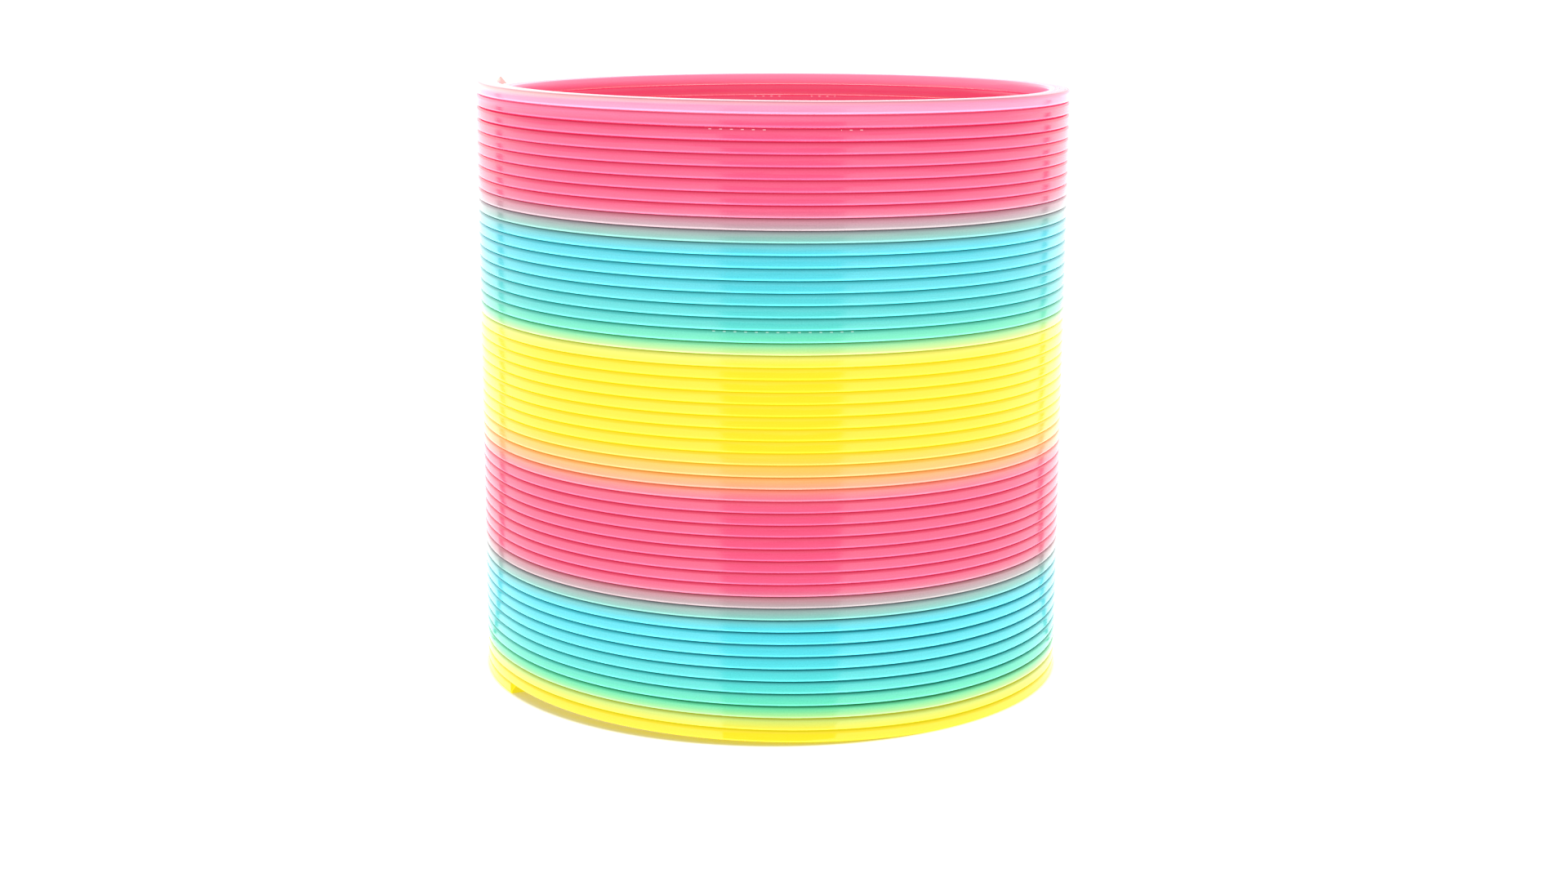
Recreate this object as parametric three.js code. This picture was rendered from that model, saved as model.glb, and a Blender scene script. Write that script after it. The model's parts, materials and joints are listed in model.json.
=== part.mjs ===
// Spring coil toy: one flat plastic strip wound into a closed upright helix.
// The strip climbs clockwise as seen from above. It is one moulded strip on the
// real toy; here it is cut once per turn, at its +X side, so that every turn can
// move against the next. Millimetres, +Z up, origin under the coil's axis.
import * as THREE from "three";

// Driving dimensions
const OUTER_DIAMETER = 76;
const STRIP_WIDTH = 2.7; // radial
const STRIP_HEIGHT = 1.37; // along the axis
const TURN_GAP = 0.073; // clear space between a turn and the next one
const TURNS = 52.09; // from the bottom end to the top end
const FLAT_SHARE = 0.74; // share of the first turn that lies flat on the table
const SETTLING_TURNS = 10.4; // turns over which the flat foot fades into an even helix
const LOOSE_TURNS = 3; // turns at the top that lie a little looser
const LOOSE_GAP = 0.08; // clear space that each of them has beyond TURN_GAP
const BOTTOM_END_DEGREES = -151; // where the strip's bottom end points, from +X
const CUT_GAP = 0.3; // between the facing ends of two turns
const FACETS_PER_TURN = 24;

// Worked out from them
const OUTER_RADIUS = OUTER_DIAMETER / 2;
const MEAN_RADIUS = OUTER_RADIUS - STRIP_WIDTH / 2;
const PITCH = STRIP_HEIGHT + TURN_GAP;
const FIRST_CUT = (360 + BOTTOM_END_DEGREES) / 360; // turn count where the strip first passes +X
const WHOLE_TURNS = Math.floor(TURNS - FIRST_CUT);
const HALF_CUT = CUT_GAP / (2 * Math.PI * OUTER_DIAMETER); // half a cut, in turns

// Colours of the strip, bottom to top. The dye holds one colour over a band of turns
// and fades into the next one between two bands.
const YELLOW = new THREE.Color(0xfff04a);
const BLUE = new THREE.Color(0x5ed9ea);
const PINK = new THREE.Color(0xff7f9e);
const CREAM = new THREE.Color(0xffe9da);
const BANDS = [
  { colour: YELLOW, from: 0, to: 1 },
  { colour: BLUE, from: 3.4, to: 9.8 },
  { colour: PINK, from: 13, to: 20.8 },
  { colour: YELLOW, from: 24.2, to: 31 },
  { colour: BLUE, from: 34, to: 41 },
  { colour: PINK, from: 44.2, to: 51 },
  { colour: CREAM, from: 52, to: 53 },
];

// Height of the strip's underside at a turn count. The first turn lies flat and then
// ramps up over its own end; the ramp fades out over the settling turns. The top
// turns carry nothing, so they open up a little.
function undersideHeight(turn) {
  const share = turn - Math.floor(turn);
  const ramp = Math.max(0, (share - FLAT_SHARE) / (1 - FLAT_SHARE));
  const fade = (turn - 1) / (SETTLING_TURNS - 1);
  const foot = 1 - Math.min(1, Math.max(0, fade));
  const loose = LOOSE_GAP * Math.max(0, turn - TURNS + LOOSE_TURNS);
  return PITCH * (turn + foot * (ramp - share)) + loose;
}

// Turn counts of a node's facet lines: its two ends, and every line of the common
// grid between them, so that the facets of all turns stand exactly above each other.
function facetLines(from, to) {
  const lines = [from];
  const first = Math.ceil((from - FIRST_CUT) * FACETS_PER_TURN + 0.01);
  for (let i = first; FIRST_CUT + i / FACETS_PER_TURN < to - 0.001; i += 1) {
    lines.push(FIRST_CUT + i / FACETS_PER_TURN);
  }
  lines.push(to);
  return lines;
}

// A straight bar, wound on the helix: its length becomes the turn count, its width
// the distance from the axis and its height the height above the strip's underside.
function woundStrip(from, to) {
  const lines = facetLines(from, to);
  const steps = lines.length - 1;
  const bar = new THREE.BoxGeometry(steps, STRIP_WIDTH, STRIP_HEIGHT, steps, 1, 1);
  const points = bar.attributes.position;
  for (let i = 0; i < points.count; i += 1) {
    const turn = lines[Math.round(points.getX(i) + steps / 2)];
    const angle = THREE.MathUtils.degToRad(BOTTOM_END_DEGREES - 360 * turn);
    const radius = MEAN_RADIUS + points.getY(i);
    const height = undersideHeight(turn) + STRIP_HEIGHT / 2 + points.getZ(i);
    points.setXYZ(i, radius * Math.cos(angle), radius * Math.sin(angle), height);
  }
  bar.computeVertexNormals();
  return bar;
}

function colourAt(turn) {
  const above = BANDS.findIndex((band) => turn <= band.to);
  const band = BANDS[above];
  if (turn >= band.from) {
    return band.colour.clone();
  }
  const below = BANDS[above - 1];
  const share = (turn - below.to) / (band.from - below.to);
  return below.colour.clone().lerp(band.colour, share);
}

function turnMesh(name, from, to) {
  const material = new THREE.MeshStandardMaterial({
    color: colourAt((from + to) / 2),
    roughness: 0.22,
    metalness: 0,
  });
  const mesh = new THREE.Mesh(woundStrip(from, to), material);
  mesh.name = name;
  return mesh;
}

const coil = new THREE.Group();
coil.name = "spring_coil_toy";
coil.add(turnMesh("bottom_turn", 0, FIRST_CUT + 1 - HALF_CUT));
for (let turn = 2; turn <= WHOLE_TURNS - 1; turn += 1) {
  const from = FIRST_CUT + turn - 1;
  coil.add(turnMesh(`turn_${String(turn).padStart(2, "0")}`, from + HALF_CUT, from + 1 - HALF_CUT));
}
coil.add(turnMesh("top_turn", FIRST_CUT + WHOLE_TURNS - 1 + HALF_CUT, TURNS));

export default coil;
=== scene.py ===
import json
import math

import bpy
from mathutils import Euler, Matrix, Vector


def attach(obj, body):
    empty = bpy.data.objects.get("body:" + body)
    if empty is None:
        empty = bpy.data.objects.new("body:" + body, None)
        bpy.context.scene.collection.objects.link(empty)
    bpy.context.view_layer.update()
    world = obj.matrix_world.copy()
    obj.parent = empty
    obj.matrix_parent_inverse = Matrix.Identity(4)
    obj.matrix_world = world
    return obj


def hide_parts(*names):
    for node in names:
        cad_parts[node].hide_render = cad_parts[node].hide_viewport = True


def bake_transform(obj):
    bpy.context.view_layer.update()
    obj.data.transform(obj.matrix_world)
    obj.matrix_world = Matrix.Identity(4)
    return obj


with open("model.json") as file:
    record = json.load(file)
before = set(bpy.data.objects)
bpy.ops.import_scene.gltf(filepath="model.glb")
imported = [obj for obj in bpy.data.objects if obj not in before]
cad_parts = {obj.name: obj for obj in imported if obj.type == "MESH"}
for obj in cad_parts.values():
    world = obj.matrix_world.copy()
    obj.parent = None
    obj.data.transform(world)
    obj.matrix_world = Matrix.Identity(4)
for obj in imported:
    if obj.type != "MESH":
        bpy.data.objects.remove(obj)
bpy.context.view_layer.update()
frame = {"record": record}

# ---------------------------------------------------------------- dyed plastic strip
# The coil's stuff: a hard glossy polystyrene strip, dyed through in bands that fade from
# yellow to blue, pink, yellow, blue, pink and a creamy white end. One material for it all,
# because the real strip is one piece whose dye only changes along its length. Its colour
# also carries painted light: each turn's colour painted bleeding into its neighbours' edges,
# a painted glow through the plastic, a darker painted glow as shade in the gaps between the
# turns, a painted highlight on the lower outer edges, painted shade on the upper ones, and
# nicks painted as white glow.


def to_linear(code):
    """A colour code such as "ff8000" as linear red, green, blue and alpha."""
    parts = [int(code[i:i + 2], 16) / 255 for i in (0, 2, 4)]
    parts = [c / 12.92 if c <= 0.04045 else ((c + 0.055) / 1.055) ** 2.4 for c in parts]
    return (*parts, 1.0)


def add_node(tree, kind, inputs=None, **settings):
    """A new node with these settings; an input is a value or another node's output."""
    node = tree.nodes.new(kind)
    for name, value in settings.items():
        setattr(node, name, value)
    for name, value in (inputs or {}).items():
        if isinstance(value, bpy.types.NodeSocket):
            tree.links.new(value, node.inputs[name])
        else:
            node.inputs[name].default_value = value
    return node


SCALE = 53  # turns that one unit of the UV map's x stands for
LENGTH_MM = 11960.0  # the strip's whole length
TURN_MM = 230.3  # its length in one turn
ROUND_MM = 8.2  # the way once round its section
dye = bpy.data.materials.new("dyed polystyrene strip with painted light")
dye.use_nodes = True
dye.cycles.emission_sampling = "NONE"
tree = dye.node_tree
tree.nodes.clear()
# place along the strip: x is the turn, as a share of SCALE, and y goes once round the
# strip's section from the middle of its lower side, past the outer side first
place = add_node(tree, "ShaderNodeUVMap", uv_map="strip")
along = add_node(tree, "ShaderNodeSeparateXYZ", {"Vector": place.outputs["UV"]})
# the turns above and below tint each turn a little near its upper and lower edges: painted
# light, standing in for the light that bleeds through them
up = add_node(tree, "ShaderNodeMath", {0: along.outputs["Y"], 1: 0.5}, operation="PINGPONG")
BLEED_TURNS = 0.3
painted_bleed_shift = add_node(tree, "ShaderNodeMapRange", {"Value": up.outputs["Value"],
                                             "From Min": 0.15, "From Max": 0.35,
                                             "To Min": -BLEED_TURNS / SCALE,
                                             "To Max": BLEED_TURNS / SCALE})
bled = add_node(tree, "ShaderNodeMath", {0: along.outputs["X"], 1: painted_bleed_shift.outputs["Result"]},
                operation="ADD")


def ramp(where, length, shades):
    """Colours, or brightnesses, along this value, each at its own place out of a length."""
    node = add_node(tree, "ShaderNodeValToRGB", {"Fac": where})
    stops = node.color_ramp.elements
    while len(stops) < len(shades):
        stops.new(1.0)
    for stop, (place, shade) in zip(stops, shades):
        stop.position = place / length
        stop.color = to_linear(shade) if isinstance(shade, str) else (shade, shade, shade, 1)
    return node.outputs["Color"]


# the dye as the light brings it off the surface
LEMON, LIME, MINT, AQUA, SKY = "7c7428", "8ca060", "60ae92", "56b2aa", "52b0bc"
GREY_BLUE, MAUVE, ROSE, PINK = "6ca490", "a48490", "9c5c7c", "9a5476"
CORAL, PEACH, BLUSH, CREAM = "a47084", "9c8070", "bc7c98", "ecd4c4"
surface_dye = ramp(bled.outputs["Value"], SCALE, [
    (0.0, LEMON), (1.3, LEMON), (2.1, LIME), (3.2, MINT), (4.8, AQUA),
    (7.0, SKY), (9.6, SKY), (10.6, GREY_BLUE), (11.8, MAUVE), (12.8, ROSE),
    (15.6, PINK), (19.4, PINK), (20.9, CORAL), (22.0, PEACH), (24.4, LEMON),
    (31.2, LEMON), (32.3, LIME), (33.4, MINT), (34.8, AQUA),
    (37.6, SKY), (40.6, SKY), (41.7, GREY_BLUE), (42.8, MAUVE), (43.8, ROSE),
    (45.6, PINK), (50.8, PINK), (51.3, BLUSH), (52.0, BLUSH), (52.35, CREAM),
])
# the painted glow through the plastic, deeper than the surface dye: emission standing in for
# light that comes through the translucent strip from inside
painted_through_glow = ramp(bled.outputs["Value"], SCALE, [
    (0.0, "f0d800"), (1.3, "f0d800"), (3.0, "38b070"), (4.8, "1c9c98"), (9.6, "1c9ca8"),
    (11.8, "746058"), (13.0, "d41c40"), (20.4, "d4203c"), (22.4, "f4a028"), (24.4, "f8d400"),
    (31.6, "f8d800"), (33.2, "48b078"), (34.8, "1a8c88"), (40.6, "1a8c98"),
    (42.8, "80565c"), (44.0, "d41c40"), (50.8, "d41e42"), (51.3, "dc5478"),
    (52.1, "d87490"), (52.35, "dca09c"),
])
# and the painted glow in the gaps between the turns, deeper and darker than on the sides:
# painted shade in the crevices, given as emission
painted_gap_shade_glow = ramp(bled.outputs["Value"], SCALE, [
    (0.0, "dcc818"), (1.3, "dcc818"), (3.0, "0c5830"), (4.8, "00484c"), (9.6, "004852"),
    (11.8, "402830"), (13.0, "b8142e"), (20.4, "bc1c34"), (22.4, "d08018"), (24.4, "e8d010"),
    (31.0, "e8d010"), (33.2, "105c28"), (34.8, "004c46"), (40.6, "00484c"),
    (42.8, "502838"), (44.0, "b8142e"), (50.8, "bc1c3c"), (51.3, "c03c58"), (52.35, "b87080"),
])
# where each painted glow goes: the sides take the painted through glow, the upper and lower
# faces in the gaps the darker painted gap glow
painted_glow_sides = ramp(along.outputs["Y"], 1, [
    (0.11, 0.0), (0.125, 1.0), (0.35, 1.0), (0.385, 0.0),
    (0.55, 0.0), (0.59, 1.0), (0.91, 1.0), (0.95, 0.0),
])
# painted highlight and shade in the dye's brightness: the lower outer edge is painted lighter,
# as if it caught the light of the table, and the upper one darker, as if it lay in shade
painted_edge_light_and_shade = ramp(along.outputs["Y"], 1, [
    (0.10, 0.36), (0.12, 0.85), (0.145, 0.8), (0.17, 0.44), (0.25, 0.4), (0.31, 0.37),
    (0.35, 0.24), (0.39, 0.12), (0.42, 0.36), (0.55, 0.36), (0.59, 0.38), (0.91, 0.38),
    (0.95, 0.36),
])
# the upper and lower faces, which rub on each other, are matt
sheen = add_node(tree, "ShaderNodeMapRange", {"Value": painted_glow_sides, "To Min": 0.12, "To Max": 0.5})
# rows of nicks, about 1.2 mm apart, that a feed wheel left on the upper edges here and there,
# painted as white glow, a painted glint; each row has its middle and half its length, in turns
NICK_ROWS = ((33.8255, 0.0355), (49.328, 0.011), (49.363, 0.008), (49.7915, 0.0065),
             (49.8485, 0.0145))
NICK_SPACING_MM = 1.2
turn_here = add_node(tree, "ShaderNodeMath", {0: along.outputs["X"], 1: float(SCALE)},
                     operation="MULTIPLY")
nicked = 0.0
for row_middle, row_reach in NICK_ROWS:
    in_row = add_node(tree, "ShaderNodeMath", {0: turn_here.outputs["Value"], 1: row_middle,
                                               2: row_reach}, operation="COMPARE")
    nicked = add_node(tree, "ShaderNodeMath", {0: in_row.outputs["Value"], 1: nicked},
                      operation="ADD").outputs["Value"]
at_upper_edges = ramp(along.outputs["Y"], 1, [
    (0.350, 0.0), (0.358, 0.5), (0.365, 0.5), (0.373, 0.0),
    (0.627, 0.0), (0.635, 0.4), (0.642, 0.4), (0.650, 0.0),
])
spaced = add_node(tree, "ShaderNodeMath", {0: turn_here.outputs["Value"],
                                           1: TURN_MM / NICK_SPACING_MM}, operation="MULTIPLY")
beat = add_node(tree, "ShaderNodeMath", {0: spaced.outputs["Value"]}, operation="FRACT")
dot = add_node(tree, "ShaderNodeMapRange", {"Value": beat.outputs["Value"], "From Min": 0.20,
                                            "From Max": 0.30, "To Min": 1.0, "To Max": 0.0})
nick_here = add_node(tree, "ShaderNodeMath", {0: nicked, 1: at_upper_edges},
                     operation="MULTIPLY")
nick = add_node(tree, "ShaderNodeMath", {0: nick_here.outputs["Value"],
                                         1: dot.outputs["Result"]}, operation="MULTIPLY")
# streaks that the extruder's die leaves along the strip, about 0.15 mm apart and 5 mm long
streaks_mm = add_node(tree, "ShaderNodeMapping", {"Vector": place.outputs["UV"],
                                                 "Scale": (LENGTH_MM / 5, ROUND_MM / 0.15,
                                                           1.0)})
streaks = add_node(tree, "ShaderNodeTexNoise", {"Vector": streaks_mm.outputs["Vector"],
                                                "Scale": 1.0, "Detail": 2.0})
# fine grain in the dye, about 0.2 mm across
grain_mm = add_node(tree, "ShaderNodeMapping", {"Vector": place.outputs["UV"],
                                               "Scale": (LENGTH_MM / 0.2, ROUND_MM / 0.2,
                                                         1.0)})
grain = add_node(tree, "ShaderNodeTexNoise", {"Vector": grain_mm.outputs["Vector"],
                                              "Scale": 1.0, "Detail": 1.0})
shade = add_node(tree, "ShaderNodeMath", {0: streaks.outputs["Fac"], 1: grain.outputs["Fac"]},
                 operation="ADD")
shade_span = add_node(tree, "ShaderNodeMapRange", {"Value": shade.outputs["Value"],
                                                   "From Min": 0.6, "From Max": 1.4,
                                                   "To Min": 2.15, "To Max": 2.85})
# the dye's brightness: the streaks and grain, times the painted edge highlight and shade
value = add_node(tree, "ShaderNodeMath", {0: shade_span.outputs["Result"], 1: painted_edge_light_and_shade},
                 operation="MULTIPLY")
shaded = add_node(tree, "ShaderNodeHueSaturation", {"Color": surface_dye,
                                                    "Value": value.outputs["Value"]})
# the painted glow, emitted: the through glow on the sides, the darker gap glow as painted shade
# between the turns
painted_glow_mix = add_node(tree, "ShaderNodeMixRGB", {"Fac": painted_glow_sides, "Color1": painted_gap_shade_glow,
                                           "Color2": painted_through_glow})
# the nicks painted as white glow: a painted glint on top of the painted glow
nick_painted_glint = add_node(tree, "ShaderNodeMixRGB", {"Fac": nick.outputs["Value"],
                                                 "Color1": painted_glow_mix.outputs["Color"],
                                                 "Color2": (1, 1, 1, 1)})
# the streaks are a little rougher than what lies between them
gloss_span = add_node(tree, "ShaderNodeMapRange", {"Value": streaks.outputs["Fac"],
                                                   "From Min": 0.3, "From Max": 0.7,
                                                   "To Min": 0.08, "To Max": 0.20})
# slow waves of the cooling strip, about 9 mm long and 1.5 mm wide, which break up the
# reflections
wave_mm = add_node(tree, "ShaderNodeMapping", {"Vector": place.outputs["UV"],
                                              "Scale": (LENGTH_MM / 9, ROUND_MM / 1.5,
                                                        1.0)})
waves = add_node(tree, "ShaderNodeTexNoise", {"Vector": wave_mm.outputs["Vector"],
                                              "Scale": 1.0, "Detail": 1.0})
WAVE_DEPTH = 0.00004
STREAK_DEPTH = 0.000004
wavy = add_node(tree, "ShaderNodeBump", {"Height": waves.outputs["Fac"], "Strength": 1.0,
                                         "Distance": WAVE_DEPTH})
streaky = add_node(tree, "ShaderNodeBump", {"Height": streaks.outputs["Fac"], "Strength": 1.0,
                                            "Distance": STREAK_DEPTH,
                                            "Normal": wavy.outputs["Normal"]})
shader = add_node(tree, "ShaderNodeBsdfPrincipled", {
    "Base Color": shaded.outputs["Color"], "Roughness": gloss_span.outputs["Result"],
    "IOR": 1.55, "Specular IOR Level": sheen.outputs["Result"],
    "Normal": streaky.outputs["Normal"],
    "Emission Color": nick_painted_glint.outputs["Color"], "Emission Strength": 1.0,
})
add_node(tree, "ShaderNodeOutputMaterial", {"Surface": shader.outputs["BSDF"]})

# ---------------------------------------------------------------- straight strip
# The strip as it comes from the extruder: a flat bar with crisp lower edges and rounder
# upper ones. A cube, bevelled along its long edges and cut across, with x from 0 to 1.
OUTER = 0.038  # radius of the coil's outer side
WIDTH = 0.0027
HEIGHT = 0.00143
LOWER_EDGE = 0.00024
UPPER_EDGE = 0.00036
FACETS = 28  # flats along each arc of the coil
CREASE = math.radians(40)  # edges sharper than this stay sharp

bpy.ops.object.select_all(action="DESELECT")
bpy.ops.mesh.primitive_cube_add(size=1, location=(0.5, 0, 0.5))
strip = bpy.context.object
strip.name = "straight strip"
bpy.ops.object.transform_apply(location=True, rotation=True, scale=True)
bpy.ops.object.mode_set(mode="EDIT")
bpy.ops.mesh.select_all(action="SELECT")
bpy.ops.transform.resize(value=(1, WIDTH, HEIGHT), center_override=(0, 0, 0))
bpy.ops.mesh.select_mode(type="EDGE")


def pick_long_edges(test):
    """Selects the long edges whose middle passes the test."""
    bpy.ops.mesh.select_all(action="DESELECT")
    bpy.ops.object.mode_set(mode="OBJECT")
    spots = strip.data.vertices
    for edge in strip.data.edges:
        a, b = (spots[v].co for v in edge.vertices)
        edge.select = abs(a.x - b.x) > 0.5 and test((a + b) / 2)
    bpy.ops.object.mode_set(mode="EDIT")


pick_long_edges(lambda middle: middle.z < HEIGHT / 2)
bpy.ops.mesh.bevel(offset=LOWER_EDGE, segments=4, profile=0.5, affect="EDGES")
pick_long_edges(lambda middle: middle.z > HEIGHT * 0.9 and abs(middle.y) > WIDTH * 0.45)
bpy.ops.mesh.bevel(offset=UPPER_EDGE, segments=4, profile=0.5, affect="EDGES")
pick_long_edges(lambda middle: True)
bpy.ops.mesh.subdivide(number_cuts=FACETS - 1)
bpy.ops.object.mode_set(mode="OBJECT")
bpy.ops.object.shade_smooth_by_angle(angle=CREASE)
strip.data.materials.append(dye)

# the share of the way round the section, from the middle of the lower side
layer = strip.data.uv_layers.new(name="strip")
for face in strip.data.polygons:
    ways = []
    for loop in face.loop_indices:
        co = strip.data.vertices[strip.data.loops[loop].vertex_index].co
        ways.append(math.atan2(co.y / WIDTH, (HEIGHT / 2 - co.z) / HEIGHT) / math.tau % 1)
        layer.data[loop].uv = (co.x, ways[-1])
    if max(ways) - min(ways) > 0.5:
        for loop, way in zip(face.loop_indices, ways):
            layer.data[loop].uv[1] = way - (way > 0.5)
flat_spots = [v.co.copy() for v in strip.data.vertices]
flat_normals = [n.vector.copy() for n in strip.data.corner_normals]
flat_uvs = [tuple(item.uv) for item in layer.data]
corner_of = [loop.vertex_index for loop in strip.data.loops]

# ---------------------------------------------------------------- coil
# The strip wound into a closed left-handed coil, standing on its first turn. Arcs of it are
# copies of the straight strip laid along the helix, and meet end to end without a seam.
TURNS = 52.09
PITCH = 0.001443
FLAT_SHARE = 0.74
SETTLING_TURNS = 10.4
LOOSE_TURNS = 3
LOOSE_GAP = 0.00008
END_BEARING = 151  # degrees clockwise from the right side, where the bottom end lies
BOTTOM_END = math.radians(-END_BEARING)
FIRST_CUT = (360 - END_BEARING) / 360
MIDDLE_RADIUS = OUTER - WIDTH / 2
HINGE_SPAN = 0.05  # turns of the short arc at a hinge, to each side of its cut

turn_names = [part["node"] for part in frame["record"]["subparts"]]
LAST = len(turn_names) - 1


def underside(turn):
    """Height of the strip's lower side: the lowest turns lie flat, then climb over the end."""
    share = turn - math.floor(turn)
    climb = max(0.0, (share - FLAT_SHARE) / (1 - FLAT_SHARE))
    foot = 1 - min(1.0, max(0.0, (turn - 1) / (SETTLING_TURNS - 1)))
    loose = LOOSE_GAP * max(0.0, turn - TURNS + LOOSE_TURNS)
    return PITCH * (turn + foot * (climb - share)) + loose


arcs = []  # in order from the bottom end


def arc(first, last):
    """A copy of the straight strip, wound from one turn to another along the coil."""
    piece = strip.copy()
    piece.data = strip.data.copy()
    arcs.append(piece)
    piece.name = f"coil_arc_{len(arcs):03d}"
    bpy.context.collection.objects.link(piece)
    spots = []
    turned = []
    for co in flat_spots:
        turn = first + (last - first) * co.x
        angle = BOTTOM_END - math.tau * turn
        radius = MIDDLE_RADIUS + co.y
        spots += [radius * math.cos(angle), radius * math.sin(angle), underside(turn) + co.z]
        turned.append((math.cos(angle), math.sin(angle)))
    piece.data.vertices.foreach_set("co", spots)
    placed = []
    for u, v in flat_uvs:
        placed += [(first + (last - first) * u) / SCALE, v]
    piece.data.uv_layers["strip"].data.foreach_set("uv", placed)
    piece.data.update()
    # the straight strip's normals, turned with it, so that neighbours shade as one
    normals = []
    for corner, n in zip(corner_of, flat_normals):
        c, s = turned[corner]
        normals.append((n.x * s + n.y * c, -n.x * c + n.y * s, n.z))
    piece.data.normals_split_custom_set(normals)
    return piece


def middle_at(turn, radius=MIDDLE_RADIUS):
    """The middle of the strip's lower side at a turn, or the point at another radius."""
    angle = BOTTOM_END - math.tau * turn
    return Vector((radius * math.cos(angle), radius * math.sin(angle), underside(turn)))


def stand_for(turn):
    """The piece stands for the turn of the coil that its middle lies in."""
    node = turn_names[min(LAST, max(0, math.floor(turn - FIRST_CUT)))]
    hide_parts(node)


def wind(count, first, last, ridden, following=None):
    """A run of equal arcs that rides on one body, or, given a following body, is left
    unattached with its placement baked in.
    """
    for i in range(count):
        a = first + (last - first) * i / count
        b = first + (last - first) * (i + 1) / count
        piece = arc(a, b)
        if following is None:
            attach(piece, ridden)
        else:
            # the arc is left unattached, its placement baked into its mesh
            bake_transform(piece)
        stand_for((a + b) / 2)


wind(4, 0, 1, turn_names[0])
wind(6, 1, FIRST_CUT + 2 - HINGE_SPAN, turn_names[0], turn_names[1])
for k in range(2, LAST + 1):
    cut = FIRST_CUT + k
    if k % 2:
        # the run between two hinges, left unattached between the bodies of two turns
        wind(8, cut - 1 + HINGE_SPAN, cut + 1 - HINGE_SPAN, turn_names[k - 1], turn_names[k])
        continue
    # the short arc at a hinge, on the coil's right side, left unattached
    piece = arc(cut - HINGE_SPAN, cut + HINGE_SPAN)
    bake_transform(piece)
    stand_for(cut)
wind(6, FIRST_CUT + LAST + HINGE_SPAN, TURNS, turn_names[LAST])
bpy.data.objects.remove(strip)

# ---------------------------------------------------------------- burr on the top end
# The small fin that the shears left standing on the strip's top end: the same plastic, a
# cone squeezed flat and bent over.
BURR_RADIUS = 0.0352  # how far it stands from the coil's axis
BURR_SUNK = 0.0004  # how far its middle lies below the strip's top

bpy.ops.object.select_all(action="DESELECT")
bpy.ops.mesh.primitive_cone_add(vertices=24, radius1=0.00065, radius2=0.00010, depth=0.0010,
                                location=(0, 0, 0))
burr = bpy.context.object
burr.name = "top_end_burr"
bpy.ops.object.mode_set(mode="EDIT")
bpy.ops.mesh.select_all(action="SELECT")
bpy.ops.transform.rotate(value=math.radians(12), orient_axis="Y", center_override=(0, 0, 0))
bpy.ops.transform.resize(value=(1, 0.5, 1), center_override=(0, 0, 0))
end = middle_at(TURNS - 0.003, BURR_RADIUS)
bpy.ops.transform.translate(value=end + Vector((0, 0, HEIGHT - BURR_SUNK)))
bpy.ops.object.mode_set(mode="OBJECT")
bpy.ops.object.shade_smooth_by_angle(angle=CREASE)
burr.data.materials.append(dye)
# it has the colour of the strip's very end
layer = burr.data.uv_layers.new(name="strip")
for loop in burr.data.loops:
    layer.data[loop.index].uv = (TURNS / SCALE, 0.33)
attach(burr, turn_names[LAST])
stand_for(TURNS)

# ---------------------------------------------------------------- light table
# The white table that the coil stands on: matt opal acrylic that glows evenly, as if lit from
# beneath, so that shadows nearly vanish and the coil's lower edges get light from below; a
# dark ring under the coil's foot is a painted contact shadow.
bpy.ops.object.select_all(action="DESELECT")
bpy.ops.mesh.primitive_plane_add(size=12, location=(0, 0, 0))
table = bpy.context.object
table.name = "table"
LIT = 0.9  # how strongly the table glows
opal = bpy.data.materials.new("matt opal acrylic")
opal.use_nodes = True
tree = opal.node_tree
tree.nodes.clear()
spot = add_node(tree, "ShaderNodeTexCoord")
mottle = add_node(tree, "ShaderNodeTexNoise", {"Vector": spot.outputs["Object"],
                                               "Scale": 900.0, "Detail": 2.0})
white = add_node(tree, "ShaderNodeMapRange", {"Value": mottle.outputs["Fac"],
                                              "To Min": 0.86, "To Max": 0.90})
# painted contact shadow: the table's glow is cut out in a ring where the coil stands, so that
# the table darkens under and just beside its foot
level = add_node(tree, "ShaderNodeVectorMath", {0: spot.outputs["Object"], 1: (1, 1, 0)},
                 operation="MULTIPLY")
away = add_node(tree, "ShaderNodeVectorMath", {0: level.outputs["Vector"]},
                operation="LENGTH")
outside = add_node(tree, "ShaderNodeMapRange", {"Value": away.outputs["Value"],
                                                "From Min": 0.0376, "From Max": 0.0386,
                                                "To Min": 0.0, "To Max": LIT},
                   interpolation_type="SMOOTHSTEP")
inside = add_node(tree, "ShaderNodeMapRange", {"Value": away.outputs["Value"],
                                               "From Min": 0.033, "From Max": 0.035,
                                               "To Min": LIT, "To Max": 0.0},
                  interpolation_type="SMOOTHSTEP")
table_glow_less_shadow_ring = add_node(tree, "ShaderNodeMath", {0: outside.outputs["Result"],
                                        1: inside.outputs["Result"]}, operation="ADD")
shader = add_node(tree, "ShaderNodeBsdfPrincipled", {"Base Color": white.outputs["Result"],
                                                     "Roughness": 0.7, "IOR": 1.49,
                                                     "Emission Color": (1, 1, 1, 1),
                                                     "Emission Strength": table_glow_less_shadow_ring.outputs["Value"]})
add_node(tree, "ShaderNodeOutputMaterial", {"Surface": shader.outputs["BSDF"]})
table.data.materials.append(opal)

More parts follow.
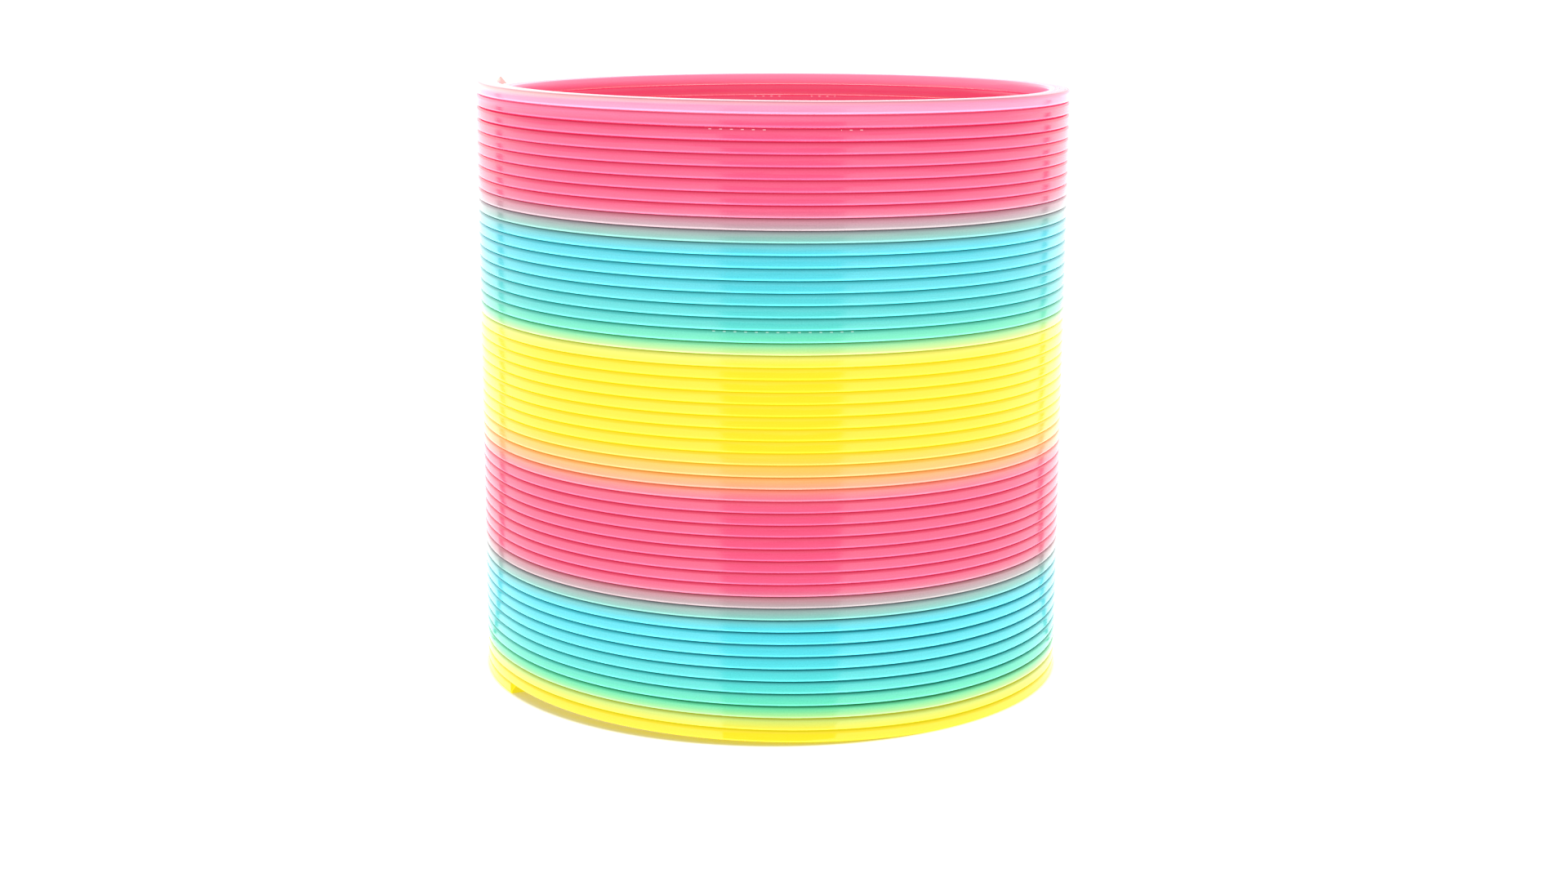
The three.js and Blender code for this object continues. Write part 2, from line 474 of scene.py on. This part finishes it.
# ---------------------------------------------------------------- soft studio light
# A white tent all round, dimmer than the table, with what a glossy strip shows of its
# surroundings: the dark shape of the camera's side and two dark seams of the tent.
world = bpy.data.worlds.new("white tent")
bpy.context.scene.world = world
world.use_nodes = True
tent = world.node_tree.nodes["Background"]
tent.inputs["Color"].default_value = (1, 1, 1, 1)
way = add_node(world.node_tree, "ShaderNodeTexCoord")
parts_of_way = add_node(world.node_tree, "ShaderNodeSeparateXYZ",
                        {"Vector": way.outputs["Generated"]})
behind = add_node(world.node_tree, "ShaderNodeMapRange", {"Value": parts_of_way.outputs["Y"],
                                                          "From Min": 0.1, "From Max": 0.7,
                                                          "To Min": 0.68, "To Max": 1.3})
world.node_tree.links.new(behind.outputs["Result"], tent.inputs["Strength"])

card_black = bpy.data.materials.new("black card")
card_black.use_nodes = True
card_shader = card_black.node_tree.nodes["Principled BSDF"]
card_shader.inputs["Base Color"].default_value = (0.02, 0.02, 0.02, 1)


CARD_REACH = 1.5
CARD_HEIGHT = 0.0002  # just clear of the table


def dark_card(name, start, end, near_angle, far_angle):
    """A flat card on the table, seen only in the strip's gloss, between two bearings from
    straight ahead of the coil. It starts between two points beside the coil."""
    corners = [start, end]
    for point, angle in ((end, far_angle), (start, near_angle)):
        turned = math.radians(angle)
        corners.append((point[0] + CARD_REACH * math.sin(turned),
                        point[1] - CARD_REACH * math.cos(turned)))
    bpy.ops.object.select_all(action="DESELECT")
    bpy.ops.mesh.primitive_plane_add(size=1, location=(0, 0, 0))
    card = bpy.context.object
    card.name = name
    for vertex, corner in zip(card.data.vertices, (0, 1, 3, 2)):
        vertex.co = (*corners[corner], CARD_HEIGHT)
    card.data.materials.append(card_black)
    card.visible_camera = False
    card.visible_diffuse = False
    card.visible_shadow = False
    card.visible_transmission = False


dark_card("camera_side", (-0.0060, -0.0385), (0.0083, -0.0385), -19.6, 26.9)
dark_card("left_seam", (-0.0458, 0.0026), (-0.0442, 0.0046), -125.6, -131.2)
dark_card("right_seam", (0.0442, 0.0046), (0.0458, 0.0026), 131.2, 125.6)

# ---------------------------------------------------------------- camera
# A short telephoto lens about 0.3 m in front, a little above the coil's top and looking
# slightly down on it.
lens = bpy.data.cameras.new("camera")
lens.lens = 52.695
lens.sensor_width = 36
lens.clip_start = 0.01
camera = bpy.data.objects.new("camera", lens)
camera.location = (0, -0.29857, 0.09325)
camera.rotation_mode = "QUATERNION"
turned = Euler((0, 0, math.radians(-0.309))).to_quaternion()
tipped = Euler((math.radians(90 - 12.104), 0, 0)).to_quaternion()
rolled = Euler((0, 0, math.radians(0.302))).to_quaternion()
camera.rotation_quaternion = turned @ tipped @ rolled
bpy.context.collection.objects.link(camera)
bpy.context.scene.camera = camera
bpy.context.scene.view_settings.view_transform = "Standard"
